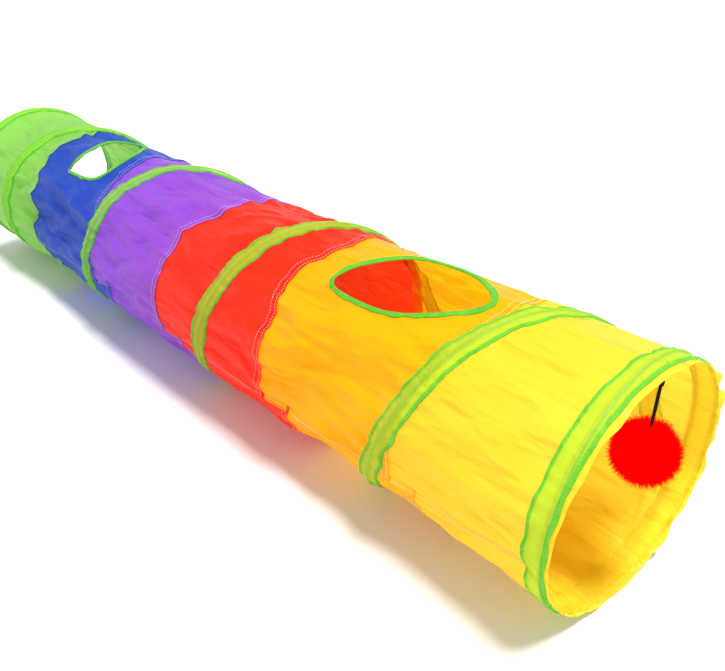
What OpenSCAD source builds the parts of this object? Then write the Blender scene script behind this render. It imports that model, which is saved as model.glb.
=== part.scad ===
// Pop-up agility tunnel: a fabric tube in six coloured panels, held open by one coiled spring wire
// that runs in a sewn channel tape, with two peepholes on top and a fluffy ball at the entrance.
// +X runs along the tunnel to the entrance with the ball, +Z is up, the floor is z = 0.

/* [Tunnel] */
// Length over the two hems
tunnel_len = 1200; // [800:10:1500]
// Diameter over the channel tape
tunnel_d = 250; // [220:2:400]
// How far the round tube settles flat onto the floor
settle = 2.5; // [1.5:0.1:3]

/* [Panels] */
// Thickness that stands in for the thin fabric
panel_t = 1.0; // [0.8:0.1:1.5]
// Green to blue seam, from the middle of the tunnel
seam_green_blue = -365; // [-380:1:-350]
// Blue to purple seam
seam_blue_purple = -165; // [-180:1:-150]
// Purple to red seam
seam_purple_red = 35; // [20:1:50]
// Red to orange seam
seam_red_orange = 235; // [220:1:250]
// Orange to yellow seam
seam_orange_yellow = 438; // [436:1:450]

/* [Peepholes] */
// Angle of both peepholes round the tube, 90 is straight up
peep_angle = 101; // [85:1:105]
// Length of the orange panel's peephole
orange_peep_len = 152; // [120:1:156]
// Width of the orange panel's peephole
orange_peep_wid = 102; // [80:1:110]
// Middle of the orange panel's peephole
orange_peep_x = 357; // [350:1:360]
// Length of the blue panel's peephole
blue_peep_len = 118; // [90:1:124]
// Width of the blue panel's peephole
blue_peep_wid = 114; // [80:1:116]
// Middle of the blue panel's peephole
blue_peep_x = -256; // [-262:1:-250]
// Width of the binding sewn round each peephole
binding_w = 5; // [3:0.5:7]

/* [Spring wire] */
// Wire diameter
wire_d = 1.8; // [1.4:0.1:2]
// Turns of the coil between the two end rings
turns = 4.25; // [4.25:1:6.25]
// Share of a turn over which the coil leaves each end ring
ease = 0.14; // [0.1:0.01:0.2]
// Distance of each end ring from its hem
ring_inset = 12; // [11:0.5:13]

/* [Channel tape] */
// Width of the tape
tape_w = 24; // [20:1:28]
// Thickness of the tape
tape_t = 0.6; // [0.4:0.1:0.6]

/* [Ball] */
// Diameter of the fluffy ball
ball_d = 59; // [40:1:64]
// Thickness of the elastic
elastic_d = 3; // [2:0.1:3]
// How far the ball hangs to the +Y side of the middle
ball_y = 10; // [-12:1:12]

/* [Hidden] */

$fn = 96;
half_len = tunnel_len / 2;
tape_r = tunnel_d / 2;
axis_z = tape_r - settle;

// Layers from the outside in: tape, wire in its channel, panel
channel_h = 3.1;
panel_gap = 0.5;
channel_r = tape_r - tape_t;
tape_in_r = channel_r - channel_h;
panel_r = tape_in_r - panel_gap;
wire_r = tape_in_r + channel_h / 2 - 0.05;
panel_rest = 5.5;

// Ends of the six sections, from the far end to the entrance
seams = [-half_len, seam_green_blue, seam_blue_purple, seam_purple_red, seam_red_orange,
         seam_orange_yellow, half_len];

// The coil starts beside the entrance ring, at the bottom of the tube
ring_x = half_len - ring_inset;
tip_gap = 2.7;
coil_end_x = ring_x - tip_gap;
pitch = 2 * coil_end_x / (turns - 2 * ease);
steps_per_turn = 48;
wire_sides = 8;
lip_t = 0.6;
tape_margin = 0.4;

// Crimp that holds the wire's tip against the ring
crimp_len = 8;
crimp_wall = 0.5;
crimp_slot = [5.3, 2.1];
crimp_back = crimp_len / 2 + 0.5;

// Hanging elastic: a tab with an eye, a loop through the eye, a whipping, the elastic, the ball
ball_x = ring_x + 6;
eye_z = axis_z + 112.5;
eye_r = 2;
eye_rim = 4.5;
tab_t = 3;
tab_top = axis_z + 118.9;
loop_r = 4.2;
loop_tube = 1.4;
whipping_r = 2.4;
whipping_top = eye_z - 2 * loop_r - loop_tube + 0.4;
whipping_bottom = 222;
ball_z = axis_z + 33;
ball_knot_r = 3.5;
// Route of the elastic from the loop to the knot inside the ball
elastic_route = [
    [ball_x, ball_y, whipping_bottom], [ball_x, ball_y, 215], [ball_x, ball_y, 207], [ball_x, ball_y, 199],
    [ball_x, ball_y, 191], [ball_x, ball_y, 183], [ball_x, ball_y, 175], [ball_x, ball_y, 167],
    [ball_x, ball_y, 159]
];
elastic_sides = 8;

// Place of the coil along the tunnel after u turns, counted from the entrance
function coil_x(u) =
    coil_end_x - pitch * (u - ease * (1 - exp(-u / ease)) - ease * exp((u - turns) / ease));
function coil_angle(u) = 360 * u - 90;

// Number of turns at which the coil reaches x
function turn_at(x, lo = 0, hi = turns, n = 24) =
    let (mid = (lo + hi) / 2)
    n == 0 ? mid : coil_x(mid) > x ? turn_at(x, mid, hi, n - 1) : turn_at(x, lo, mid, n - 1);

// Point at radius r and angle a round the tube, pressed flat where it meets the floor
function hoop_point(x, r, a) =
    [x, r * cos(a), axis_z + max(r * sin(a), tape_r - r - axis_z)];

// Faces of a swept profile of m points on n + 1 stations
function side_faces(m, n) = [
    for (k = [0 : n - 1], j = [0 : m - 1])
        let (a = k * m + j, b = k * m + (j + 1) % m)
        each [[a, b, b + m], [a, b + m, a + m]]
];
function end_faces(cap, m, n) = [
    for (f = cap) each [[f[2], f[1], f[0]], [for (i = f) i + n * m]]
];
function fan(m) = [for (j = [1 : m - 2]) [0, j, j + 1]];

// Round wire profile and folded tape profile, as offsets along the tunnel and radii
wire_profile = [
    for (j = [0 : wire_sides - 1])
        let (a = 360 * j / wire_sides)
        [wire_d / 2 * cos(a), wire_r + wire_d / 2 * sin(a)]
];
tape_profile = [
    [-tape_w / 2, tape_in_r], [-2.0, tape_in_r], [-1.5, channel_r], [1.5, channel_r],
    [2.0, tape_in_r], [tape_w / 2, tape_in_r], [tape_w / 2, tape_in_r + lip_t],
    [3.6, tape_in_r + lip_t], [2.2, tape_r], [-2.2, tape_r], [-3.6, tape_in_r + lip_t],
    [-tape_w / 2, tape_in_r + lip_t]
];

tape_cap = [
    [0, 1, 10], [0, 10, 11], [1, 2, 10], [2, 9, 10], [2, 3, 9], [3, 8, 9], [3, 7, 8], [3, 4, 7],
    [4, 5, 7], [5, 6, 7]
];

module coil_sweep(profile, cap, u0, u1) {
    m = len(profile);
    n = ceil((u1 - u0) * steps_per_turn);
    points = [
        for (k = [0 : n], p = profile)
            let (u = u0 + (u1 - u0) * k / n)
            hoop_point(coil_x(u) + p[0], p[1], coil_angle(u))
    ];
    polyhedron(points, concat(side_faces(m, n), end_faces(cap, m, n)));
}

module wire_ring(x) {
    m = wire_sides;
    n = steps_per_turn;
    points = [
        for (k = [0 : n - 1], p = wire_profile) hoop_point(x + p[0], p[1], 360 * k / n - 90)
    ];
    faces = [for (f = side_faces(m, n)) [for (i = f) i % (m * n)]];
    color("silver") polyhedron(points, faces);
}

// Stretch of the coil's wire inside one panel's section
module coil_wire(section) {
    u0 = section == 5 ? 0 : turn_at(seams[section + 1]);
    u1 = section == 0 ? turns : turn_at(seams[section]);
    color("silver") coil_sweep(wire_profile, fan(wire_sides), u0, u1);
}

// Stretch of the channel tape over one panel's section
module coil_tape(section) {
    tape_end = half_len - tape_w * 1.5 - tape_margin;
    x0 = max(seams[section], -tape_end);
    x1 = min(seams[section + 1], tape_end);
    color("limegreen") coil_sweep(tape_profile, tape_cap, turn_at(x1), turn_at(x0));
}

// Disc with its bottom cut off at height cut above the floor
module settled_disc(r, cut) {
    intersection() {
        circle(r);
        translate([-r, cut - axis_z]) square([2 * r, 2 * r]);
    }
}

module along_tunnel(x0, x1) {
    translate([x0, 0, axis_z]) rotate([90, 0, 90]) linear_extrude(x1 - x0) children();
}

module tube_shell(x0, x1, r_out, r_in, cut) {
    along_tunnel(x0, x1) difference() {
        settled_disc(r_out, cut);
        settled_disc(r_in, cut + r_out - r_in);
    }
}

// Pointed oval prism that cuts a peephole, standing on the tunnel's axis
module peephole(x, length, width) {
    r = (length * length + width * width) / (4 * width);
    translate([x, 0, axis_z]) rotate([peep_angle - 90, 0, 0]) linear_extrude(tunnel_d)
        intersection() {
            translate([0, r - width / 2]) circle(r);
            translate([0, width / 2 - r]) circle(r);
        }
}

module binding(x, length, width) {
    color("limegreen") difference() {
        intersection() {
            tube_shell(x - length, x + length, panel_r + 0.7, panel_r - panel_t - 0.7, panel_rest);
            peephole(x, length, width);
        }
        peephole(x, length - 2 * binding_w, width - 2 * binding_w);
    }
}

module panel(section) {
    tube_shell(seams[section], seams[section + 1], panel_r, panel_r - panel_t, panel_rest);
}

module green_panel() { color("yellowgreen") panel(0); }

module blue_panel() {
    color("royalblue") difference() {
        panel(1);
        peephole(blue_peep_x, blue_peep_len, blue_peep_wid);
    }
}

module purple_panel() { color("mediumpurple") panel(2); }

module red_panel() { color("red") panel(3); }

module orange_panel() {
    color("orange") difference() {
        panel(4);
        peephole(orange_peep_x, orange_peep_len, orange_peep_wid);
    }
}

module yellow_panel() { color("gold") panel(5); }

module coil_wire_green() { coil_wire(0); }
module coil_wire_blue() { coil_wire(1); }
module coil_wire_purple() { coil_wire(2); }
module coil_wire_red() { coil_wire(3); }
module coil_wire_orange() { coil_wire(4); }
module coil_wire_yellow() { coil_wire(5); }

module coil_tape_green() { coil_tape(0); }
module coil_tape_blue() { coil_tape(1); }
module coil_tape_purple() { coil_tape(2); }
module coil_tape_red() { coil_tape(3); }
module coil_tape_orange() { coil_tape(4); }
module coil_tape_yellow() { coil_tape(5); }

module far_wire_ring() { wire_ring(-ring_x); }
module near_wire_ring() { wire_ring(ring_x); }

// Flat crimp round the ring and the coil's tip, with the wires at radius r and angle a
module crimp(r, a, shift) {
    slot = [crimp_slot[0], crimp_slot[1], crimp_len + 1];
    block = [crimp_slot[0] + 2 * crimp_wall, crimp_slot[1] + 2 * crimp_wall, crimp_len];
    color("gainsboro") translate([0, 0, axis_z]) rotate([a, 0, 0])
        translate([ring_x - tip_gap / 2, r, shift])
            difference() {
                cube(block, center = true);
                cube(slot, center = true);
            }
}

// The entrance's crimp lies on the flat bottom, the far one follows the curve
module near_wire_crimp() { crimp(axis_z - tape_r + wire_r, -90, crimp_back); }
module far_wire_crimp() {
    mirror([1, 0, 0]) crimp(wire_r, 360 * turns - 90 - asin(crimp_back / wire_r), 0);
}

// Tape folded over the end ring: a skin over the wire and a lip against the panel's hem
module rim_tape() {
    color("limegreen") union() {
        tube_shell(half_len - tape_w, half_len, tape_r, channel_r, 0);
        tube_shell(half_len - 2 * tape_t, half_len, tape_r, tape_in_r, 0);
    }
}

module near_rim_tape() { rim_tape(); }
module far_rim_tape() { mirror([1, 0, 0]) rim_tape(); }

module blue_peephole_binding() { binding(blue_peep_x, blue_peep_len, blue_peep_wid); }
module orange_peephole_binding() { binding(orange_peep_x, orange_peep_len, orange_peep_wid); }

// Tab sewn inside the rim, with an eye for the elastic's loop
module elastic_tab() {
    color("black") difference() {
        union() {
            translate([ball_x, ball_y, eye_z]) rotate([90, 0, 0])
                cylinder(h = tab_t, r = eye_rim, center = true);
            translate([ball_x - eye_rim, ball_y - tab_t / 2, eye_z])
                cube([2 * eye_rim, tab_t, tab_top - eye_z]);
        }
        translate([ball_x, ball_y, eye_z]) rotate([90, 0, 0])
            cylinder(h = tab_t + 1, r = eye_r, center = true);
    }
}

module elastic_loop() {
    color("black") translate([ball_x, ball_y, eye_z - loop_r]) rotate([0, 90, 0])
        rotate_extrude() translate([loop_r, 0]) circle(loop_tube, $fn = 32);
}

// Thread whipping that closes the loop and holds the top of the elastic
module loop_whipping() {
    color("dimgray") translate([ball_x, ball_y, whipping_bottom])
        cylinder(h = whipping_top - whipping_bottom, r = whipping_r);
}

module ball_elastic() {
    m = elastic_sides;
    n = len(elastic_route) - 1;
    points = [
        for (p = elastic_route, j = [0 : m - 1])
            p + elastic_d / 2 * [cos(360 * j / m), sin(360 * j / m), 0]
    ];
    faces = concat(side_faces(m, n), end_faces(fan(m), m, n));
    color("black") polyhedron(points, [for (f = faces) [f[0], f[2], f[1]]]);
}

module pom_pom() {
    color("red") translate([ball_x, ball_y, ball_z]) difference() {
        sphere(ball_d / 2);
        cylinder(h = ball_d, r = elastic_d / 2 + 0.1);
        sphere(ball_knot_r + 0.1);
    }
}

module ball_knot() { color("black") translate([ball_x, ball_y, ball_z]) sphere(ball_knot_r); }

green_panel();
blue_panel();
purple_panel();
red_panel();
orange_panel();
yellow_panel();
coil_wire_green();
coil_wire_blue();
coil_wire_purple();
coil_wire_red();
coil_wire_orange();
coil_wire_yellow();
coil_tape_green();
coil_tape_blue();
coil_tape_purple();
coil_tape_red();
coil_tape_orange();
coil_tape_yellow();
far_wire_ring();
near_wire_ring();
far_wire_crimp();
near_wire_crimp();
far_rim_tape();
near_rim_tape();
blue_peephole_binding();
orange_peephole_binding();
elastic_tab();
elastic_loop();
loop_whipping();
ball_elastic();
pom_pom();
ball_knot();
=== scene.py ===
import math

import bpy
import numpy as np
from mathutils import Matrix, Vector


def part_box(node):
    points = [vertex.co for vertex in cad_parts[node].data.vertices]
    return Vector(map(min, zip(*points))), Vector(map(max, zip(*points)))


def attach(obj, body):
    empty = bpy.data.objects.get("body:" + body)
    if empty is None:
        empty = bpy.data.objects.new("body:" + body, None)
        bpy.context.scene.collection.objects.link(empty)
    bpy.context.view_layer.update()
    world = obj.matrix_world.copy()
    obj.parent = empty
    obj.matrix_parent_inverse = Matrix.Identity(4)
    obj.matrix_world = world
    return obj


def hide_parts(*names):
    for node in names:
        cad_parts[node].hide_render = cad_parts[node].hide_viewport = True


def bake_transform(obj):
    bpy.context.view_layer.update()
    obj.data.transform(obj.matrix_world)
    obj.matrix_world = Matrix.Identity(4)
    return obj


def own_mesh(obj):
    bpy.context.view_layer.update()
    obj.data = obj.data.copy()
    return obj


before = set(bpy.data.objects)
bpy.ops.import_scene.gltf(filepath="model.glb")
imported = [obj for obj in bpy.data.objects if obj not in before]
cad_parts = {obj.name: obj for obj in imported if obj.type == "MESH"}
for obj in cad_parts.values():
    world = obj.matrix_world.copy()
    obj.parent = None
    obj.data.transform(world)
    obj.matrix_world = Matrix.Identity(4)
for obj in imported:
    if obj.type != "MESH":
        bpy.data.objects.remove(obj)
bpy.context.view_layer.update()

# The camera stands in front of the entrance, on the side of the lengthwise seam, and looks down
# the tunnel towards its far end. It takes in the whole tunnel with the fluffy ball.
camera_place = Vector((0.7877, -0.4980, 0.5450))
camera_turn = math.radians(136.61)
camera_dip = math.radians(29.60)
looking = Vector((math.cos(camera_turn) * math.cos(camera_dip),
                  math.sin(camera_turn) * math.cos(camera_dip), -math.sin(camera_dip)))
camera = bpy.data.objects.new("camera", bpy.data.cameras.new("camera"))
camera.location = camera_place
camera.rotation_euler = looking.to_track_quat("-Z", "Y").to_euler()
camera.data.sensor_width = 36.0
camera.data.lens = 36.745
bpy.context.scene.collection.objects.link(camera)
bpy.context.scene.camera = camera
bpy.context.scene.view_settings.view_transform = "Standard"
bpy.context.scene.view_settings.look = "Medium High Contrast"


# The ball hangs on a short piece of round black elastic, braided over rubber strands. Its upper end
# is whipped into a loop below the rim, and its lower end runs into the ball and ends in a knot.
elastic_thick = 0.003
elastic_route = [(0.594, 0.010, z) for z in (0.222, 0.215, 0.207, 0.199, 0.191, 0.183, 0.175, 0.167, 0.159)]
elastic_sides = 12
elastic_rings = 64
braid_height = 0.00012
braid_turns = 3
black_elastic_colour = (0.006, 0.006, 0.007)


def make_piece(name, points, quads, uvs=None, materials=(), slot_of_face=None):
    """A mesh piece from its points and four-cornered faces, with its cloth coordinates in metres."""
    mesh = bpy.data.meshes.new(name)
    mesh.vertices.add(len(points))
    mesh.vertices.foreach_set("co", np.asarray(points, np.float32).ravel())
    mesh.loops.add(quads.size)
    mesh.loops.foreach_set("vertex_index", quads.ravel().astype(np.int32))
    mesh.polygons.add(len(quads))
    mesh.polygons.foreach_set("loop_start", np.arange(0, quads.size, 4, dtype=np.int32))
    mesh.polygons.foreach_set("use_smooth", np.ones(len(quads), bool))
    for material in materials:
        mesh.materials.append(material)
    if slot_of_face is not None:
        mesh.polygons.foreach_set("material_index", np.asarray(slot_of_face, np.int32))
    if uvs is not None:
        layer = mesh.uv_layers.new(name="cloth")
        layer.data.foreach_set("uv", np.asarray(uvs, np.float32)[quads.ravel()].ravel())
    mesh.update(calc_edges=True)
    piece = bpy.data.objects.new(name, mesh)
    bpy.context.scene.collection.objects.link(piece)
    return piece


def grid_quads(rows, columns, joined_rows=False, joined_columns=False):
    """Faces of a grid of points, stored row by row, that may close on itself either way."""
    i = np.arange(rows if joined_rows else rows - 1)
    j = np.arange(columns if joined_columns else columns - 1)
    i, j = np.meshgrid(i, j, indexing="ij")
    i2, j2 = (i + 1) % rows, (j + 1) % columns
    corners = [i * columns + j, i * columns + j2, i2 * columns + j2, i2 * columns + j]
    return np.stack(corners, -1).reshape(-1, 4)


def new_material(name, colour, roughness, specular=0.4, sheen=0.0, metallic=0.0):
    """A material with a principled shader, and the node tree and shader to build its pattern on."""
    material = bpy.data.materials.new(name)
    material.use_nodes = True
    nodes = material.node_tree.nodes
    shader = nodes["Principled BSDF"]
    shader.inputs["Base Color"].default_value = (*colour, 1)
    shader.inputs["Roughness"].default_value = roughness
    shader.inputs["Specular IOR Level"].default_value = specular
    shader.inputs["Sheen Weight"].default_value = sheen
    shader.inputs["Metallic"].default_value = metallic
    return material, nodes, material.node_tree.links, shader


def node(nodes, kind, **values):
    """A node with its properties and its numbered or named inputs set."""
    made = nodes.new(kind)
    for key, value in values.items():
        if hasattr(made, key):
            setattr(made, key, value)
        else:
            made.inputs[key.replace("_", " ")].default_value = value
    return made


def vary(nodes, links, shader, field, socket, low, high):
    """Sends a 0 to 1 field to a shader's socket, as a range between two numbers or two colours."""
    if isinstance(low, tuple):
        mix = nodes.new("ShaderNodeMix")
        mix.data_type = "RGBA"
        links.new(field, mix.inputs["Factor"])
        mix.inputs["A"].default_value = (*low, 1)
        mix.inputs["B"].default_value = (*high, 1)
        links.new(mix.outputs["Result"], shader.inputs[socket])
        return mix.outputs["Result"]
    ramp = node(nodes, "ShaderNodeMapRange", To_Min=low, To_Max=high)
    links.new(field, ramp.inputs["Value"])
    links.new(ramp.outputs["Result"], shader.inputs[socket])
    return ramp.outputs["Result"]


def add_bump(nodes, links, shader, heights):
    """Chains bumps of (height field, strength, depth in metres) onto a shader's normal."""
    last = None
    for field, strength, depth in heights:
        bump = node(nodes, "ShaderNodeBump", Strength=strength, Distance=depth)
        links.new(field, bump.inputs["Height"])
        if last:
            links.new(last, bump.inputs["Normal"])
        last = bump.outputs["Normal"]
    links.new(last, shader.inputs["Normal"])
    return last


def braid_material(name, colour, strand=0.0011):
    """Braided yarn: two sets of strands that cross, with a painted highlight on their crowns and painted shade in the
    grooves between them.
    """
    material, nodes, links, shader = new_material(name, colour, 0.7, 0.12, 0.03)
    place = nodes.new("ShaderNodeTexCoord")
    strands = []
    for lean in (1, -1):
        turned = node(nodes, "ShaderNodeMapping", Rotation=(0, 0.7 * lean, 0.9 * lean))
        links.new(place.outputs["Object"], turned.inputs["Vector"])
        wave = node(nodes, "ShaderNodeTexWave", Scale=0.314 / strand, Distortion=0.6)
        links.new(turned.outputs["Vector"], wave.inputs["Vector"])
        strands.append(wave.outputs["Fac"])
    both = node(nodes, "ShaderNodeMath", operation="MAXIMUM")
    links.new(strands[0], both.inputs[0])
    links.new(strands[1], both.inputs[1])
    # Painted highlight and shade: the colour is lighter on the strands' crowns and darker in the grooves between them.
    crown_highlight = tuple(min(1, c * 1.5 + 0.004) for c in colour)
    vary(nodes, links, shader, both.outputs["Value"], "Base Color", colour, crown_highlight)
    vary(nodes, links, shader, both.outputs["Value"], "Roughness", 0.75, 0.5)
    add_bump(nodes, links, shader, [(both.outputs["Value"], 0.6, strand * 0.3)])
    return material


black_elastic = braid_material("black_elastic", black_elastic_colour)
top, bottom = np.array(elastic_route[0]), np.array(elastic_route[-1])
down = np.linspace(0, 1, elastic_rings)
turn = np.linspace(0, 2 * math.pi, elastic_sides, endpoint=False)
down2, turn2 = np.meshgrid(down, turn, indexing="ij")
elastic_long = top[2] - bottom[2]
braid = np.maximum(np.sin(2 * math.pi * (down2 * elastic_long / 0.004 + turn2 / 2 / math.pi * braid_turns)),
                   np.sin(2 * math.pi * (down2 * elastic_long / 0.004 - turn2 / 2 / math.pi * braid_turns)))
radius = elastic_thick / 2 - braid_height * (1 - braid)
points = np.stack([top[0] + radius * np.cos(turn2), top[1] + radius * np.sin(turn2),
                   top[2] + (bottom[2] - top[2]) * down2], -1).reshape(-1, 3)
ball_elastic = make_piece("ball_elastic_braid", points, grid_quads(elastic_rings, elastic_sides, False, True)[:, ::-1],
                          np.stack([turn2 * elastic_thick / 2, down2 * elastic_long], -1).reshape(-1, 2),
                          [black_elastic])
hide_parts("ball_elastic")
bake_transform(ball_elastic)


# One spring wire of hard drawn steel coils through the whole tunnel inside its channel tape. It ends
# in a closed ring at each rim, where a steel crimp clamps its tip, and it folds flat like a spring.
near_tape_low, near_tape_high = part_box("near_rim_tape")
near_ring_low, near_ring_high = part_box("near_wire_ring")
tape_radius = near_tape_high.y
axis_height = near_tape_high.z - tape_radius
wire_thick = near_ring_high.x - near_ring_low.x
wire_radius = near_ring_high.y - wire_thick / 2
ring_place = (near_ring_low.x + near_ring_high.x) / 2
half_long = near_tape_high.x
wire_turns = 4.25
wire_ease = 0.14
wire_tip_gap = 0.0027
wire_start = ring_place - wire_tip_gap
wire_pitch = 2 * wire_start / (wire_turns - 2 * wire_ease)
floor_clearance = 0.0006

colours = ["green", "blue", "purple", "red", "orange", "yellow"]
bodies = {"green": "far_end", **{c: c + "_section" for c in colours[1:]}}
seam_places = {c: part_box(c + "_panel")[0].x for c in colours}


def coil_place(u):
    """Place of the coil along the tunnel after u turns, counted from the entrance."""
    u = np.clip(u, 0, wire_turns)
    return wire_start - wire_pitch * (u - wire_ease * (1 - np.exp(-u / wire_ease))
                                      - wire_ease * np.exp((u - wire_turns) / wire_ease))


def around(x, angle, radius, lowest=floor_clearance):
    """Points on the tube at a distance from its axis, resting on whatever is lowest below it."""
    y = radius * np.cos(angle)
    z = np.maximum(axis_height + radius * np.sin(angle), lowest)
    return np.stack(np.broadcast_arrays(x, y, z), -1)


def fold_with(piece, colour):
    """The piece belongs to one colour's section, and folds flat with it as the tunnel collapses."""
    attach(piece, bodies[colour])
    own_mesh(piece)


def turns_of(colour, step):
    """The coil's turns u inside one colour's section, in equal steps."""
    u = np.linspace(0, wire_turns, round(wire_turns / step) + 1)
    place = coil_place(u)
    i = colours.index(colour)
    low = seam_places[colour] if i else -half_long
    high = seam_places[colours[i + 1]] if i < 5 else half_long
    inside = np.where((place >= low) & (place <= high))[0]
    return u[max(inside[0] - 1, 0): inside[-1] + 2]


wire_steel, nodes, links, shader = new_material("spring_wire", (0.30, 0.31, 0.32), 0.45, 0.5, 0, 1.0)
drawn = node(nodes, "ShaderNodeTexNoise", Scale=900.0, Detail=4.0)
vary(nodes, links, shader, drawn.outputs["Fac"], "Roughness", 0.38, 0.58)
vary(nodes, links, shader, drawn.outputs["Fac"], "Base Color", (0.24, 0.25, 0.26), (0.38, 0.39, 0.40))
add_bump(nodes, links, shader, [(drawn.outputs["Fac"], 0.15, 0.00005)])

wire_sides = 8
for colour in colours:
    u = turns_of(colour, 1 / 160)
    side = np.linspace(0, 2 * math.pi, wire_sides, endpoint=False)
    u2, side2 = np.meshgrid(u, side, indexing="ij")
    points = around(coil_place(u2) + wire_thick / 2 * np.cos(side2), 2 * math.pi * u2 - math.pi / 2,
                    wire_radius + wire_thick / 2 * np.sin(side2))
    points[..., 2] = np.maximum(points[..., 2], floor_clearance + wire_thick * (0.6 + 0.4 * np.sin(side2)))
    wire = make_piece("spring_wire_" + colour, points.reshape(-1, 3),
                      grid_quads(len(u), wire_sides, False, True), None, [wire_steel])
    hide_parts("coil_wire_" + colour)
    fold_with(wire, colour)

for ring in ("near_wire_ring", "far_wire_ring"):
    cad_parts[ring].data.materials.clear()
    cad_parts[ring].data.materials.append(wire_steel)

crimp_steel, nodes, links, shader = new_material("crimp_steel", (0.6, 0.6, 0.58), 0.3, 0.5, 0, 1.0)
plating = node(nodes, "ShaderNodeTexNoise", Scale=350.0, Detail=3.0)
vary(nodes, links, shader, plating.outputs["Fac"], "Roughness", 0.18, 0.42)
vary(nodes, links, shader, plating.outputs["Fac"], "Base Color", (0.5, 0.5, 0.48), (0.68, 0.68, 0.66))
add_bump(nodes, links, shader, [(plating.outputs["Fac"], 0.25, 0.0001)])
for crimp in ("near_wire_crimp", "far_wire_crimp"):
    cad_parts[crimp].data.materials.clear()
    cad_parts[crimp].data.materials.append(crimp_steel)


# The tube is six panels of thin polyester taffeta, sewn end to end with lapped seams and two rows of
# stitches. Each panel is closed by a lengthwise seam low on the front side, where the rings of
# colour meet with a small step. Between the turns of wire the cloth hangs slack and wrinkled.
panel_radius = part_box("red_panel")[1].y
rest_on_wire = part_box("red_panel")[0].z
rest_on_floor = 0.001
cloth_step = 0.0025
lengthwise_seam = math.radians(198)
rim_lean = 0.07
lap = 0.013
edge_thick = 0.0007
side_lap = 0.008
cloth_gap = 0.00035
hollow_depth = 0.0060
most_proud = 0.0030
hole_ovals = ((0.360, 100, 0.080, 0.050), (-0.255, 101, 0.056, 0.058))
noise_rows, noise_columns = 512, 320
noise_long = 1.28
rng = np.random.default_rng(7)


def cloudy(long, wide, lean=0.0):
    """A smooth random field on the tube, with features of the given length and width, that may lean."""
    field = np.fft.fft2(rng.standard_normal((noise_rows, noise_columns)))
    fx = np.fft.fftfreq(noise_rows, noise_long / noise_rows)[:, None]
    fs = np.fft.fftfreq(noise_columns, 2 * math.pi * panel_radius / noise_columns)[None, :]
    fx = fx + lean * fs
    field = np.fft.ifft2(field * np.exp(-2 * ((fx * long) ** 2 + (fs * wide) ** 2) * 2.2)).real
    return field / field.std()


def read_field(field, x, angle):
    """The field's value at places on the tube, worked out between its grid points."""
    i = (np.asarray(x) / noise_long + 0.5) * noise_rows
    j = (np.asarray(angle) / (2 * math.pi) % 1) * noise_columns
    i0, j0 = np.floor(i).astype(int), np.floor(j).astype(int)
    fi, fj = i - i0, j - j0
    i0, j0, i1, j1 = i0 % noise_rows, j0 % noise_columns, (i0 + 1) % noise_rows, (j0 + 1) % noise_columns
    return ((field[i0, j0] * (1 - fj) + field[i0, j1] * fj) * (1 - fi)
            + (field[i1, j0] * (1 - fj) + field[i1, j1] * fj) * fi)


folds = cloudy(0.17, 0.024, 0.12) + 0.7 * cloudy(0.11, 0.016, -0.20)
dents = cloudy(0.060, 0.045)
creases = -np.abs(cloudy(0.13, 0.030, 0.15)) - np.abs(cloudy(0.10, 0.032, -0.30)) + 1.6
crumples = -np.abs(cloudy(0.050, 0.011, 0.2)) - np.abs(cloudy(0.035, 0.012, -0.4)) + 1.6
gathers = cloudy(0.070, 0.0090, 0.1)
slack = 1 + 0.35 * cloudy(0.25, 0.16)


def nearest_turns(x, angle):
    """For places on the tube: the free length of cloth between turns of wire, the share of the way
    across it, and the distance to the nearest turn."""
    part = (angle + math.pi / 2) / (2 * math.pi) % 1
    free, share = np.full(np.shape(x + angle), 0.02), np.zeros(np.shape(x + angle))
    near = np.abs(np.abs(x) - ring_place) + 0 * angle
    for k in range(-1, 5):
        high, low = coil_place(part + k), coil_place(part + k + 1)
        inside = (x >= low) & (x < high)
        free = np.where(inside, high - low, free)
        share = np.where(inside, (x - low) / np.maximum(high - low, 1e-6), share)
        near = np.minimum(near, np.minimum(np.abs(x - high), np.abs(x - low)))
    return free, share, near


def near_hole(x, angle):
    """How much a peephole's bound edge holds the cloth straight: 1 at the edge and inside, 0 away from it."""
    held = np.zeros(np.shape(x))
    for middle_place, middle_angle, half_place, half_wide in hole_ovals:
        aside = (angle - math.radians(middle_angle) + math.pi) % (2 * math.pi) - math.pi
        away = np.hypot((x - middle_place) / half_place, aside * panel_radius / half_wide)
        held = np.maximum(held, np.exp(-(np.maximum(away - 1, 0) / 0.45) ** 2))
    return held


def cloth_radius(x, angle):
    """How far the cloth is from the tunnel's axis, with its hollows between the wires and its wrinkles."""
    x, angle = np.broadcast_arrays(x, angle)
    free, share, near = nearest_turns(x, angle)
    held = near_hole(x, angle)
    across = np.sin(math.pi * np.clip(share, 0, 1))
    room = np.minimum(free / wire_pitch, 1.0) ** 1.3
    deep = hollow_depth * room * across ** 0.85 * np.clip(read_field(slack, x, angle), 0.2, 2) * (1 - 0.85 * held)
    hanging = 1 - 0.5 * np.clip(np.sin(angle), 0, 1) ** 6
    loose = room * across ** 0.4 * (1 - 0.85 * np.exp(-(near / 0.013) ** 2)) * (1 - 0.65 * held) * hanging
    wrinkle = (0.0030 * read_field(folds, x, angle) + 0.0014 * read_field(dents, x, angle)
               + 0.0028 * read_field(creases, x, angle) + 0.0013 * read_field(crumples, x, angle)) * loose
    gathered = 0.0014 * read_field(gathers, x, angle) * np.exp(-((near - 0.024) / 0.018) ** 2) * room
    height = wrinkle + gathered - deep
    height = np.where(height > 0, most_proud * np.tanh(height / most_proud), height)
    return panel_radius + height


def cloth_rest(x, angle):
    """How low the cloth can come: on the wire and its tape near a turn, almost on the floor between them."""
    near = nearest_turns(*np.broadcast_arrays(x, angle))[2]
    return rest_on_floor + (rest_on_wire - rest_on_floor) * np.exp(-(near / 0.03) ** 2)


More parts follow.
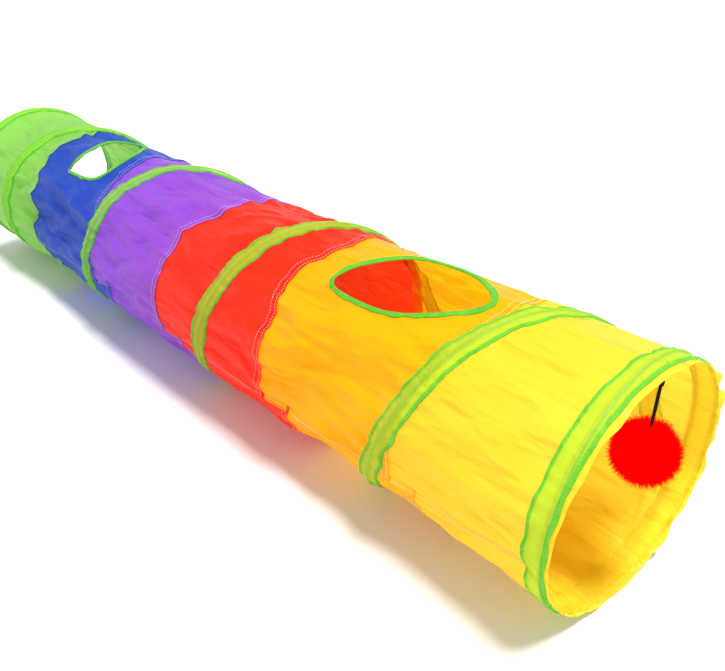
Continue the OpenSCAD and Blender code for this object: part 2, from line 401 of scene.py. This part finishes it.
# Where each seam between two colours runs, as angles in degrees round the tube and places along it.
# It starts and ends at the lengthwise seam, where the two ends miss each other by a small step.
seam_runs = {
    "blue": [(198, -0.352), (260, -0.358), (330, -0.370), (400, -0.374), (440, -0.385), (460, -0.366), (485, -0.384),
             (510, -0.370), (525, -0.385), (540, -0.382), (558, -0.392)],
    "purple": [(198, -0.142), (260, -0.150), (330, -0.158), (400, -0.178), (440, -0.188), (465, -0.172), (480, -0.166),
               (510, -0.166), (540, -0.170), (558, -0.172)],
    "red": [(198, 0.055), (260, 0.042), (330, 0.044), (400, 0.050), (440, 0.058), (465, 0.066), (474, 0.058),
            (481, 0.041), (490, 0.030), (505, 0.029), (525, 0.022), (540, 0.017), (558, 0.014)],
    "orange": [(198, 0.268), (260, 0.246), (330, 0.240), (400, 0.243), (450, 0.251), (465, 0.245), (475, 0.235),
               (490, 0.225), (505, 0.235), (525, 0.231), (540, 0.226), (558, 0.225)],
    "yellow": [(198, 0.450), (260, 0.441), (330, 0.438), (400, 0.452), (440, 0.462), (460, 0.462), (480, 0.452),
               (495, 0.443), (510, 0.432), (525, 0.424), (540, 0.420), (558, 0.417)],
}
seam_degrees = np.arange(180, 577, 0.5)
seam_soften = np.hanning(19) / np.hanning(19).sum()


def seam_line(colour, angle):
    """Where a panel's far edge runs round the tube; with no colour, where the yellow panel ends."""
    if colour == "green":
        return np.full_like(angle, -half_long)
    if colour is None:
        return half_long - 0.004 + rim_lean * panel_radius * np.cos(angle)
    turned, places = np.array(seam_runs[colour], float).T
    smooth = np.convolve(np.pad(np.interp(seam_degrees, turned, places), 9, "edge"), seam_soften, "valid")
    ripple = 0.0004 * np.sin(47 * angle + 2 * np.sin(5 * angle))
    return np.interp(np.degrees(angle), seam_degrees, smooth) + ripple


# Peepholes: ovals with soft corners, cut in the top of the blue and the orange panel. Each is given
# by the places and angles in degrees that its cut edge runs through, all the way round.
peepholes = {
    "orange": [(0.284, 121), (0.280, 113), (0.295, 102), (0.313, 90), (0.343, 79), (0.384, 77), (0.418, 84),
               (0.437, 95), (0.423, 106), (0.393, 116), (0.358, 122), (0.319, 123)],
    "blue": [(-0.310, 127), (-0.297, 118), (-0.292, 106), (-0.297, 96), (-0.293, 84), (-0.272, 73), (-0.238, 82),
             (-0.213, 95), (-0.203, 108), (-0.207, 119), (-0.228, 126), (-0.262, 128)],
}
cut_clear = 1.015


def peephole_outline(colour, grow=1.0, count=240):
    """The cut edge of a peephole as places and angles: a smooth closed curve in equal steps."""
    through = np.array(peepholes[colour], float)
    through[:, 1] = np.radians(through[:, 1]) * panel_radius
    before, after, beyond = np.roll(through, 1, 0), np.roll(through, -1, 0), np.roll(through, -2, 0)
    t = np.linspace(0, 1, 40, endpoint=False)[None, :, None]
    line = 0.5 * (2 * through[:, None] + (after - before)[:, None] * t
                  + (2 * before - 5 * through + 4 * after - beyond)[:, None] * t ** 2
                  + (3 * through - before - 3 * after + beyond)[:, None] * t ** 3).reshape(-1, 2)
    closed = np.concatenate([line, line[:1]])
    run = np.concatenate([[0], np.cumsum(np.linalg.norm(np.diff(closed, axis=0), axis=1))])
    even = np.linspace(0, run[-1], count, endpoint=False)
    line = np.stack([np.interp(even, run, closed[:, 0]), np.interp(even, run, closed[:, 1])], -1)
    middle = line.mean(0)
    line = middle + (line - middle) * grow
    return line[:, 0], line[:, 1] / panel_radius


def inside_outline(x, angle, outline):
    """Which places lie inside a closed outline, by counting the edges to one side."""
    ox, oa = outline
    inside = np.zeros(x.shape, bool)
    for i in range(len(ox)):
        x1, a1, x2, a2 = ox[i - 1], oa[i - 1], ox[i], oa[i]
        cuts = (a1 > angle) != (a2 > angle)
        if not cuts.any():
            continue
        inside ^= cuts & (x < (x2 - x1) * (angle - a1) / (a2 - a1 + 1e-12) + x1)
    return inside


def taffeta_material(name, colour, deep, lit, see_through=0.40):
    """Thin woven taffeta: fine threads, crisp crinkles, soft sheen and light that comes through."""
    material, nodes, links, shader = new_material(name, colour, 0.42, 0.20, 0.03)
    cloth = node(nodes, "ShaderNodeUVMap", uv_map="cloth")
    threads = []
    for direction in ("X", "Y"):
        wave = node(nodes, "ShaderNodeTexWave", bands_direction=direction, Scale=0.314 / 0.00055, Distortion=0.4)
        links.new(cloth.outputs["UV"], wave.inputs["Vector"])
        threads.append(wave.outputs["Fac"])
    weave = node(nodes, "ShaderNodeMath", operation="MULTIPLY")
    links.new(threads[0], weave.inputs[0])
    links.new(threads[1], weave.inputs[1])
    cloud = node(nodes, "ShaderNodeTexNoise", Scale=9.0, Detail=5.0, Roughness=0.6)
    links.new(cloth.outputs["UV"], cloud.inputs["Vector"])
    slub = node(nodes, "ShaderNodeMapping", Scale=(500.0, 14.0, 1.0))
    links.new(cloth.outputs["UV"], slub.inputs["Vector"])
    streak = node(nodes, "ShaderNodeTexNoise", Scale=1.0, Detail=2.0)
    links.new(slub.outputs["Vector"], streak.inputs["Vector"])
    crinkles = []
    for size, lean in ((34.0, 0.12), (85.0, -0.35)):
        bend = node(nodes, "ShaderNodeMapping", Scale=(size, size * 0.28, 1.0), Rotation=(0, 0, lean))
        links.new(cloth.outputs["UV"], bend.inputs["Vector"])
        warp = node(nodes, "ShaderNodeTexNoise", Scale=1.3, Detail=2.0)
        links.new(bend.outputs["Vector"], warp.inputs["Vector"])
        shift = node(nodes, "ShaderNodeMix", data_type="RGBA", blend_type="ADD", Factor=0.8)
        links.new(bend.outputs["Vector"], shift.inputs["A"])
        links.new(warp.outputs["Color"], shift.inputs["B"])
        cells = node(nodes, "ShaderNodeTexVoronoi", feature="SMOOTH_F1", Scale=1.0, Smoothness=0.25)
        links.new(shift.outputs["Result"], cells.inputs["Vector"])
        crinkles.append(cells.outputs["Distance"])
    tone = node(nodes, "ShaderNodeMix", data_type="FLOAT", Factor=0.25)
    links.new(cloud.outputs["Fac"], tone.inputs["A"])
    links.new(streak.outputs["Fac"], tone.inputs["B"])
    vary(nodes, links, shader, tone.outputs["Result"], "Base Color", deep, colour)
    vary(nodes, links, shader, cloud.outputs["Fac"], "Roughness", 0.46, 0.27)
    bumped = add_bump(nodes, links, shader, [(crinkles[0], 0.9, 0.0075), (crinkles[1], 0.8, 0.0030),
                                             (weave.outputs["Value"], 0.25, 0.00006)])
    through = node(nodes, "ShaderNodeBsdfTranslucent", Color=(*lit, 1))
    links.new(bumped, through.inputs["Normal"])
    mix = node(nodes, "ShaderNodeMixShader", Fac=see_through)
    links.new(shader.outputs["BSDF"], mix.inputs[1])
    links.new(through.outputs["BSDF"], mix.inputs[2])
    links.new(mix.outputs["Shader"], nodes["Material Output"].inputs["Surface"])
    return material


def srgb(r, g, b):
    """A linear colour from everyday 0 to 255 values."""
    return tuple((c / 255 / 12.92) if c < 10.3 else ((c / 255 + 0.055) / 1.055) ** 2.4 for c in (r, g, b))


# Each dye in full light, in its deeper streaks, and as it colours the light that comes through.
dyes = {
    "green": (srgb(152, 214, 98), srgb(132, 196, 76), srgb(164, 222, 108)),
    "blue": (srgb(56, 96, 202), srgb(36, 70, 168), srgb(68, 116, 224)),
    "purple": (srgb(170, 104, 226), srgb(144, 80, 204), srgb(180, 124, 238)),
    "red": (srgb(255, 76, 50), srgb(254, 36, 10), srgb(255, 92, 38)),
    "orange": (srgb(255, 202, 26), srgb(255, 170, 0), srgb(255, 218, 36)),
    "yellow": (srgb(255, 220, 84), srgb(255, 202, 24), srgb(255, 242, 84)),
}
taffeta = {c: taffeta_material(c + "_taffeta", *dyes[c]) for c in colours}

circumference = 2 * math.pi * panel_radius
for colour in colours:
    following = colours[colours.index(colour) + 1] if colour != "yellow" else None
    first = lengthwise_seam - side_lap / panel_radius
    columns = round((circumference + side_lap) / cloth_step)
    angle = np.linspace(first, lengthwise_seam + 2 * math.pi, columns + 1)
    far_edge = seam_line(colour, angle) - (lap if colour != "green" else 0)
    near_edge = seam_line(following, angle)
    rows = round((near_edge - far_edge).mean() / cloth_step)
    share = np.linspace(0, 1, rows + 1)[:, None]
    x = far_edge + (near_edge - far_edge) * share
    angle2 = np.broadcast_to(angle, x.shape)
    under_seam = np.clip(1 - (x - far_edge - lap) / 0.004, 0, 1) if colour != "green" else 0
    under_side = np.clip(1 - (angle2 - first - side_lap / panel_radius) * panel_radius / 0.004, 0, 1)
    edge_lift = edge_thick * np.exp(-((near_edge - x) / 0.003) ** 2) if following else 0
    radius = cloth_radius(x, angle2) - cloth_gap * (under_seam + 0.5 * under_side) + edge_lift
    quads = grid_quads(*x.shape)
    if colour in peepholes:
        middle_x = x.ravel()[quads].mean(1)
        middle_angle = angle2.ravel()[quads].mean(1)
        for whole_turn in (0, 2 * math.pi):
            hole = inside_outline(middle_x, middle_angle - whole_turn, peephole_outline(colour, cut_clear))
            quads, middle_x, middle_angle = quads[~hole], middle_x[~hole], middle_angle[~hole]
    used, numbered = np.unique(quads, return_inverse=True)
    points = around(x, angle2, radius, cloth_rest(x, angle2)).reshape(-1, 3)[used]
    uvs = np.stack([(angle2 - first) * panel_radius, x], -1).reshape(-1, 2)[used]
    panel = make_piece("taffeta_" + colour, points, numbered.reshape(-1, 4), uvs, [taffeta[colour]])
    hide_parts(colour + "_panel")
    fold_with(panel, colour)


# The seams are sewn with pale polyester thread in lockstitch: two rows along each lapped seam, and
# one along the lengthwise seam. Every stitch lies on the cloth and dives into it at both ends.
stitch_pitch = 0.0034
stitch_long = 0.0026
thread_half = 0.00030
row_places = (0.0030, 0.0100)
hole_clear = 1.16


def sew(name, lines, material, past_holes=True):
    """One piece with a stitch at every pitch along each line of points on the cloth."""
    stitches = []
    for line in lines:
        along = np.concatenate([[0], np.cumsum(np.linalg.norm(np.diff(line, axis=0), axis=1))])
        start = np.arange(stitch_pitch / 2, along[-1] - stitch_long, stitch_pitch)
        at = start[:, None] + stitch_long * np.array([0, 0.5, 1])
        middle = np.stack([np.interp(at, along, line[:, k]) for k in range(3)], -1)
        if past_holes:
            x, angle = middle[:, 1, 0], np.arctan2(middle[:, 1, 2] - axis_height, middle[:, 1, 1])
            for colour in peepholes:
                clear = ~inside_outline(x, angle % (2 * math.pi), peephole_outline(colour, hole_clear))
                middle, x, angle = middle[clear], x[clear], angle[clear]
        out = middle * (0, 1, 1) - (0, 0, axis_height)
        out /= np.linalg.norm(out, axis=-1, keepdims=True)
        aside = np.cross(out, middle[:, 2:] - middle[:, :1])
        aside /= np.linalg.norm(aside, axis=-1, keepdims=True)
        rise = np.array([-0.6, 0.9, -0.6]) * thread_half
        half = np.array([0.6, 1.0, 0.6]) * thread_half
        for a, o in ((1, 0), (0, 1), (-1, 0), (0, -1)):
            stitches.append(middle + aside * (a * half)[:, None] + out * (o * half + rise)[:, None])
    points = np.concatenate([np.stack(stitches[i:i + 4], 2) for i in range(0, len(stitches), 4)])
    points[..., 2] = np.maximum(points[..., 2], floor_clearance / 2)
    one = grid_quads(3, 4, False, True)
    quads = (one[None] + (np.arange(len(points)) * 12)[:, None, None]).reshape(-1, 4)
    return make_piece(name, points.reshape(-1, 3), quads, None, [material])


angle = np.linspace(lengthwise_seam, lengthwise_seam + 2 * math.pi, 720)
for colour in colours:
    following = colours[colours.index(colour) + 1] if colour != "yellow" else None
    lines = []
    for row in row_places if following else ():
        x = seam_line(following, angle) - row
        radius = cloth_radius(x, angle) + edge_thick * math.exp(-(row / 0.003) ** 2)
        lines.append(around(x, angle, radius, cloth_rest(x, angle)))
    side = np.full(200, lengthwise_seam - side_lap / 2 / panel_radius)
    from_x = seam_line(colour, side[:1] + 2 * math.pi)[0]
    to_x = seam_line(following, side[:1] + 2 * math.pi)[0]
    x = np.linspace(from_x, to_x, 200)
    lines.append(around(x, side, cloth_radius(x, side), cloth_rest(x, side)))
    pale = tuple(0.45 * c + 0.55 * w for c, w in zip(dyes[colour][0], (0.9, 0.85, 0.85)))
    thread = sew("seam_thread_" + colour, lines, braid_material("thread_" + colour, pale, 0.0005))
    fold_with(thread, colour)


# The tape is a woven polyester strip, bright green, with both edges folded under and sewn down on
# the taffeta, so that a channel for the wire is left between its two rows of stitches.
tape_wide = near_tape_high.x - near_tape_low.x
ridge_radius = wire_radius + wire_thick / 2 + 0.0005
ridge_wide = 0.0042
crimp_cover = 0.0022
tape_lift = 0.0006
tape_step = 0.0025


def tape_material(name, colour, deep, glow, sheer=0.0):
    """Woven tape with fine ribs across it. It glows against the light, and where it is a single
    layer it is sheer enough for the colour below to show."""
    material, nodes, links, shader = new_material(name, colour, 0.48, 0.25, 0.08)
    cloth = node(nodes, "ShaderNodeUVMap", uv_map="cloth")
    rib = node(nodes, "ShaderNodeTexWave", bands_direction="X", Scale=0.314 / 0.0007, Distortion=0.5)
    links.new(cloth.outputs["UV"], rib.inputs["Vector"])
    cloud = node(nodes, "ShaderNodeTexNoise", Scale=45.0, Detail=4.0)
    links.new(cloth.outputs["UV"], cloud.inputs["Vector"])
    gather = node(nodes, "ShaderNodeMapping", Scale=(170.0, 35.0, 1.0))
    links.new(cloth.outputs["UV"], gather.inputs["Vector"])
    pucker = node(nodes, "ShaderNodeTexNoise", Scale=1.0, Detail=3.0)
    links.new(gather.outputs["Vector"], pucker.inputs["Vector"])
    ground = vary(nodes, links, shader, cloud.outputs["Fac"], "Base Color", deep, colour)
    vary(nodes, links, shader, cloud.outputs["Fac"], "Roughness", 0.6, 0.4)
    heights = [(pucker.outputs["Fac"], 0.8, 0.0030), (rib.outputs["Fac"], 0.3, 0.00008)]
    bumped = add_bump(nodes, links, shader, heights)
    through = nodes.new("ShaderNodeBsdfTranslucent")
    links.new(ground, through.inputs["Color"])
    links.new(bumped, through.inputs["Normal"])
    mix = node(nodes, "ShaderNodeMixShader", Fac=glow)
    links.new(shader.outputs["BSDF"], mix.inputs[1])
    links.new(through.outputs["BSDF"], mix.inputs[2])
    if sheer:
        gaps = nodes.new("ShaderNodeBsdfTransparent")
        woven, mix = mix, node(nodes, "ShaderNodeMixShader", Fac=sheer)
        links.new(woven.outputs["Shader"], mix.inputs[1])
        links.new(gaps.outputs["BSDF"], mix.inputs[2])
    links.new(mix.outputs["Shader"], nodes["Material Output"].inputs["Surface"])
    return material


tape_middle = tape_material("channel_tape_middle", srgb(186, 246, 78), srgb(160, 232, 62), 0.35, 0.40)
tape_fold = tape_material("channel_tape_fold", srgb(140, 226, 84), srgb(72, 178, 44), 0.30, 0.10)


tape_thread = braid_material("tape_thread", srgb(96, 190, 60), 0.0005)


def wavy(length, size, seed):
    """A random wave along a line, repeatable, with humps about as long as given."""
    own = np.random.default_rng(seed)
    waves = [(own.uniform(0.6, 1.8) / size, own.uniform(0, 2 * math.pi), own.uniform(0.5, 1)) for _ in range(7)]
    return sum(h * np.sin(2 * math.pi * f * length + p) for f, p, h in waves) / 2.2


def tape_strip(name, place, angle, along, half_left, half_right, ridge=0.0, sewn=(-0.80, 0.80)):
    """A tape laid round the tube along a line of places and angles, and its rows of stitches. It follows
    the cloth below it, stands up over the wire at ridge, and has a thick fold along each edge."""
    share = np.concatenate([[-1.0, -0.985], np.linspace(-0.96, -0.72, 4), np.linspace(-0.65, 0.65, 15),
                            np.linspace(0.72, 0.96, 4), [0.985, 1.0]])
    aside = np.where(share < 0, share[None, :] * half_left[:, None], share[None, :] * half_right[:, None])
    run_x, run_s = np.gradient(place), np.gradient(angle) * panel_radius
    size = np.hypot(run_x, run_s)
    across_x, across_s = run_s / size, -run_x / size
    if across_x.mean() < 0:
        across_x, across_s = -across_x, -across_s
    x = place[:, None] + aside * across_x[:, None]
    a = angle[:, None] + aside * across_s[:, None] / panel_radius
    from_wire = np.abs(aside - np.broadcast_to(ridge, place.shape)[:, None]) / ridge_wide
    edge = np.abs(share)[None, :]
    folded = 0.0008 * np.clip((edge - 0.68) / 0.06, 0, 1) * np.clip((1.0 - edge) / 0.015, 0, 1)
    ripple = (0.0007 * wavy(along, 0.020, 3)[:, None] * edge + 0.0003 * wavy(along, 0.009, 4)[:, None]) * edge
    slack_between = 0.0005 * np.sin(math.pi * np.clip(edge, 0, 1)) * (1 + wavy(along, 0.02, 5)[:, None])
    raised = tape_lift + folded + slack_between + ripple * 0.8
    radius = cloth_radius(x, a) + np.maximum(raised, 0.0003)
    radius = np.where(edge > 0.99, radius - 0.0008, radius)
    radius = np.maximum(radius, ridge_radius - 0.0030 * from_wire ** 2.2)
    for crimp in ("near_wire_crimp", "far_wire_crimp"):
        low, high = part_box(crimp)
        up, out = (low.z + high.z) / 2 - axis_height, (low.y + high.y) / 2
        from_angle = (a - math.atan2(up, out) + math.pi) % (2 * math.pi) - math.pi
        past_end = np.maximum(np.abs(x - (low.x + high.x) / 2) - (high.x - low.x) / 2, 0)
        past_side = np.maximum(np.abs(from_angle) * panel_radius - max(high.y - low.y, high.z - low.z) / 2, 0)
        over_crimp = math.hypot(up, out) + crimp_cover
        radius = np.maximum(radius, over_crimp - 0.0030 * (np.hypot(past_end, past_side) / 0.004) ** 1.5)
    points = around(x, a, radius)
    rows, columns = x.shape
    quads = grid_quads(rows, columns)
    face_edge = np.abs(share[:-1] + share[1:]) / 2
    which = np.tile((face_edge > 0.70).astype(int), rows - 1)
    uvs = np.stack(np.broadcast_arrays(along[:, None], aside), -1).reshape(-1, 2)
    strip = make_piece(name, points.reshape(-1, 3), quads, uvs, [tape_middle, tape_fold], which)
    stitched = [points[:, np.argmin(np.abs(share - row))] for row in sewn]
    thread = sew(name + "_thread", stitched, tape_thread, False)
    return strip, thread


turn_long = math.hypot(wire_pitch, 2 * math.pi * wire_radius)
for colour in colours:
    u = turns_of(colour, tape_step / turn_long)
    if colour == "yellow":
        u = u[coil_place(u) < near_tape_low.x - 0.006]
    if colour == "green":
        u = u[coil_place(u) > -near_tape_low.x + 0.006]
    along = u * turn_long
    left = tape_wide / 2 + 0.0010 * wavy(along, 0.075, 11) + 0.00025 * wavy(along, 0.018, 12)
    right = tape_wide / 2 + 0.0010 * wavy(along, 0.060, 13) + 0.00025 * wavy(along, 0.016, 14)
    strip, thread = tape_strip("channel_tape_" + colour, coil_place(u), 2 * math.pi * u - math.pi / 2, along,
                               left, right)
    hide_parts("coil_tape_" + colour)
    fold_with(strip, colour)
    fold_with(thread, colour)


# Each end of the tube is finished with the same tape, folded over the end ring and sewn down. The
# yellow or green cloth stands a few millimetres out of it as a narrow, wavy hem.
hem_out = 0.0026
hem_top = 0.0030
hem_droop = 0.0020


def rim(side, colour, body):
    """One end's tape and hem, both fixed to the end ring."""
    angle = np.linspace(0, 2 * math.pi, 361)
    along = angle * wire_radius
    blendable = np.sin(angle / 2) ** 0.3
    middle = side * (half_long - tape_wide / 2) + rim_lean * panel_radius * np.cos(angle) * (side > 0)
    left = tape_wide / 2 + 0.0007 * wavy(along, 0.07, 21) * blendable
    right = tape_wide / 2 + 0.0005 * wavy(along, 0.05, 22) * blendable
    strip, thread = tape_strip(body + "_rim_tape", middle, angle, along, left, right, side * ring_place - middle,
                               (-0.80, 0.65, 0.80))
    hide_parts("near_rim_tape" if side > 0 else "far_rim_tape")
    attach(strip, body)
    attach(thread, body)
    share = np.linspace(0, 1, 9)
    lobes = 0.0030 * wavy(along, 0.055, 26) * np.exp(-((np.cos(angle) - 0.9) / 0.35) ** 2)
    flare = (0.0012 + 0.0012 * wavy(along, 0.06, 23) * blendable + 0.0003 * wavy(along, 0.02, 24) * blendable
             + lobes * blendable - hem_droop * np.clip(np.sin(angle), 0, 1))
    out = hem_out + hem_top * np.clip(np.sin(angle), 0, 1) + (0.0008 * wavy(along, 0.05, 25) + lobes) * blendable
    x = (middle + side * (tape_wide / 2 - 0.004))[:, None] + side * (0.004 + out[:, None]) * share
    radius = panel_radius - 0.0003 + flare[:, None] * share ** 2
    points = around(x, angle[:, None], radius, rest_on_wire + (rest_on_floor - rest_on_wire) * share ** 2)
    uvs = np.stack(np.broadcast_arrays(along[:, None], x), -1).reshape(-1, 2)
    hem = make_piece(body + "_hem", points.reshape(-1, 3), grid_quads(*x.shape), uvs, [taffeta[colour]])
    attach(hem, body)


rim(1, "yellow", "entrance")
rim(-1, "green", "far_end")


# The edge of each peephole is bound with a narrower strip of the tape, folded over the cut cloth so
# that it shows on both faces, and sewn through with one row of stitches.
binding_wide = 0.0064
binding_front_share = 0.72

for colour in peepholes:
    ox, oa = peephole_outline(colour, 1.0, 360)
    run = np.stack([np.roll(ox, -1) - np.roll(ox, 1), (np.roll(oa, -1) - np.roll(oa, 1)) * panel_radius], -1)
    run /= np.linalg.norm(run, axis=1)[:, None]
    along = np.concatenate([[0], np.cumsum(np.hypot(np.diff(ox), np.diff(oa) * panel_radius))])
    out_x, out_s = run[:, 1], -run[:, 0]
    if inside_outline(ox[:1] + out_x[:1] * 0.004, oa[:1] + out_s[:1] * 0.004 / panel_radius, (ox, oa))[0]:
        out_x, out_s = -out_x, -out_s
    section = [(1.0, 0.0004), (0.97, 0.0010), (0.75, 0.0012), (0.45, 0.0010), (0.15, 0.0012), (-0.05, 0.0010),
               (-0.14, 0.0004), (-0.14, -0.0003), (-0.05, -0.0009), (0.2, -0.0010), (0.6, -0.0009), (0.95, -0.0008),
               (1.0, -0.0003)]
    front = np.clip((oa - oa.min()) / (oa.max() - oa.min()) * 2 - 0.8, 0, 1)
    wide = binding_wide * (1 - (1 - binding_front_share) * front + 0.13 * wavy(along, 0.035, 31))
    aside = np.array([p[0] for p in section])[None, :] * wide[:, None]
    raised = np.array([p[1] for p in section])[None, :] * (1 + 0.15 * wavy(along, 0.012, 32)[:, None])
    x = ox[:, None] + aside * out_x[:, None]
    a = oa[:, None] + aside * out_s[:, None] / panel_radius
    points = around(x, a, cloth_radius(x, a) + raised)
    uvs = np.stack(np.broadcast_arrays(along[:, None], aside), -1).reshape(-1, 2)
    binding = make_piece(colour + "_peephole_tape", points.reshape(-1, 3), grid_quads(*x.shape, True, True), uvs,
                         [tape_fold])
    row = points[list(range(len(points))) + [0], 2]
    thread = sew(colour + "_peephole_thread", [row], tape_thread, False)
    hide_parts(colour + "_peephole_binding")
    for piece in (binding, thread):
        fold_with(piece, colour)


# A folded tab of tape is sewn inside the top of the entrance rim. The elastic's loop hangs in its
# eye, whipped shut with black thread.
black_thread = braid_material("black_thread", black_elastic_colour, 0.0006)
tab_tape = braid_material("tab_tape", (0.015, 0.015, 0.016), 0.0009)
for name, material in (("elastic_tab", tab_tape), ("elastic_loop", black_elastic),
                       ("loop_whipping", black_thread), ("ball_knot", black_elastic)):
    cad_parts[name].data.materials.clear()
    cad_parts[name].data.materials.append(material)


# The ball is a pompon of soft red acrylic pile: thousands of cut strands round a tight knot of yarn,
# clipped to a ball.
ball_low, ball_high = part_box("pom_pom")
ball_middle = (ball_low + ball_high) / 2
ball_radius = (ball_high.z - ball_low.z) / 2
strand_count = 12000
strand_root = 0.55
strand_thick = 0.00028
strand_rings = 4

red_fluff, nodes, links, shader = new_material("red_fluff", srgb(255, 0, 0), 0.7, 0.05)
# Painted glow: the red pile gives off red light of its own, though it is no lamp, so the ball looks brightly lit.
shader.inputs["Emission Color"].default_value = (1, 0, 0, 1)
shader.inputs["Emission Strength"].default_value = 0.6
fluff = node(nodes, "ShaderNodeTexNoise", Scale=160.0, Detail=3.0)
pile = vary(nodes, links, shader, fluff.outputs["Fac"], "Base Color", srgb(250, 0, 0), srgb(255, 10, 6))
vary(nodes, links, shader, fluff.outputs["Fac"], "Roughness", 0.8, 0.55)
add_bump(nodes, links, shader, [(fluff.outputs["Fac"], 0.4, 0.0006)])
glow = nodes.new("ShaderNodeBsdfTranslucent")
links.new(pile, glow.inputs["Color"])
mix = node(nodes, "ShaderNodeMixShader", Fac=0.45)
links.new(shader.outputs["BSDF"], mix.inputs[1])
links.new(glow.outputs["BSDF"], mix.inputs[2])
links.new(mix.outputs["Shader"], nodes["Material Output"].inputs["Surface"])

strand_rng = np.random.default_rng(41)
out = strand_rng.standard_normal((strand_count, 3))
out /= np.linalg.norm(out, axis=1)[:, None]
sideways = np.cross(out, strand_rng.standard_normal((strand_count, 3)))
sideways /= np.linalg.norm(sideways, axis=1)[:, None]
third = np.cross(out, sideways)
reach = ball_radius * (0.95 + 0.07 * strand_rng.standard_normal(strand_count)).clip(0.78, 1.12)
bend = strand_rng.normal(0, 0.0022, (strand_count, 2))
share = np.linspace(0, 1, strand_rings)
centre = (out[:, None, :] * (strand_root * ball_radius + (reach - strand_root * ball_radius)[:, None] * share)[..., None]
          + (sideways * bend[:, :1] + third * bend[:, 1:])[:, None, :] * (share ** 2)[None, :, None])
thick = strand_thick * np.array([1.0, 1.0, 0.8, 0.25])
corner = np.linspace(0, 2 * math.pi, 3, endpoint=False)
ring = (sideways[:, None, None, :] * np.cos(corner)[None, None, :, None]
        + third[:, None, None, :] * np.sin(corner)[None, None, :, None]) * thick[None, :, None, None]
points = (centre[:, :, None, :] + ring).reshape(-1, 3) + np.array(ball_middle)
one = grid_quads(strand_rings, 3, False, True)
quads = (one[None] + (np.arange(strand_count) * strand_rings * 3)[:, None, None]).reshape(-1, 4)
strands = make_piece("fluffy_ball", points, quads, None, [red_fluff])
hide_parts("pom_pom")
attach(strands, "ball")

core_rows, core_columns = 48, 96
lift = np.linspace(-math.pi / 2, math.pi / 2, core_rows)
turn = np.linspace(0, 2 * math.pi, core_columns, endpoint=False)
lift2, turn2 = np.meshgrid(lift, turn, indexing="ij")
core_radius = ball_radius * (0.84 + 0.02 * np.sin(9 * turn2 + 4 * lift2) * np.cos(lift2)
                             + 0.015 * np.sin(17 * turn2 - 11 * lift2) * np.cos(lift2))
points = np.stack([core_radius * np.cos(lift2) * np.cos(turn2), core_radius * np.cos(lift2) * np.sin(turn2),
                   core_radius * np.sin(lift2)], -1).reshape(-1, 3) + np.array(ball_middle)
core = make_piece("ball_inner_pile", points, grid_quads(core_rows, core_columns, False, True), None, [red_fluff])
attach(core, "ball")


# A plain white studio floor, lit from all round, a little more from low down than from overhead. A
# strong soft lamp stands almost straight above and a weak one in front, so the taffeta glows.
floor_size = 60.0
bpy.ops.mesh.primitive_plane_add(size=floor_size, location=(0, 0, 0))
floor = bpy.context.object
floor.name = "studio_floor"
paper, nodes, links, shader = new_material("floor_paper", (0.76, 0.76, 0.76), 0.9, 0.1)
grain = node(nodes, "ShaderNodeTexNoise", Scale=40.0, Detail=3.0)
vary(nodes, links, shader, grain.outputs["Fac"], "Base Color", (0.75, 0.75, 0.75), (0.77, 0.77, 0.77))
floor.data.materials.append(paper)

world = bpy.data.worlds.new("studio")
world.use_nodes = True
nodes, links = world.node_tree.nodes, world.node_tree.links
sky = nodes["Background"]
sky.inputs["Color"].default_value = (1, 1, 1, 1)
direction = nodes.new("ShaderNodeTexCoord")
parts = nodes.new("ShaderNodeSeparateXYZ")
links.new(direction.outputs["Generated"], parts.inputs["Vector"])
fade = node(nodes, "ShaderNodeMapRange", From_Min=0.05, From_Max=0.7, To_Min=1.05, To_Max=0.5)
links.new(parts.outputs["Z"], fade.inputs["Value"])
links.new(fade.outputs["Result"], sky.inputs["Strength"])
bpy.context.scene.world = world

lamps = [("top_light", (0.20, 0.06, 1.0), 14, 2.9), ("front_light", (0.5, -1.0, 0.55), 20, 0.35)]
for name, towards, spread, power in lamps:
    lamp = bpy.data.objects.new(name, bpy.data.lights.new(name, "SUN"))
    lamp.data.angle = math.radians(spread)
    lamp.data.energy = power
    lamp.location = towards
    lamp.rotation_euler = (-Vector(towards)).to_track_quat("-Z", "Y").to_euler()
    bpy.context.scene.collection.objects.link(lamp)
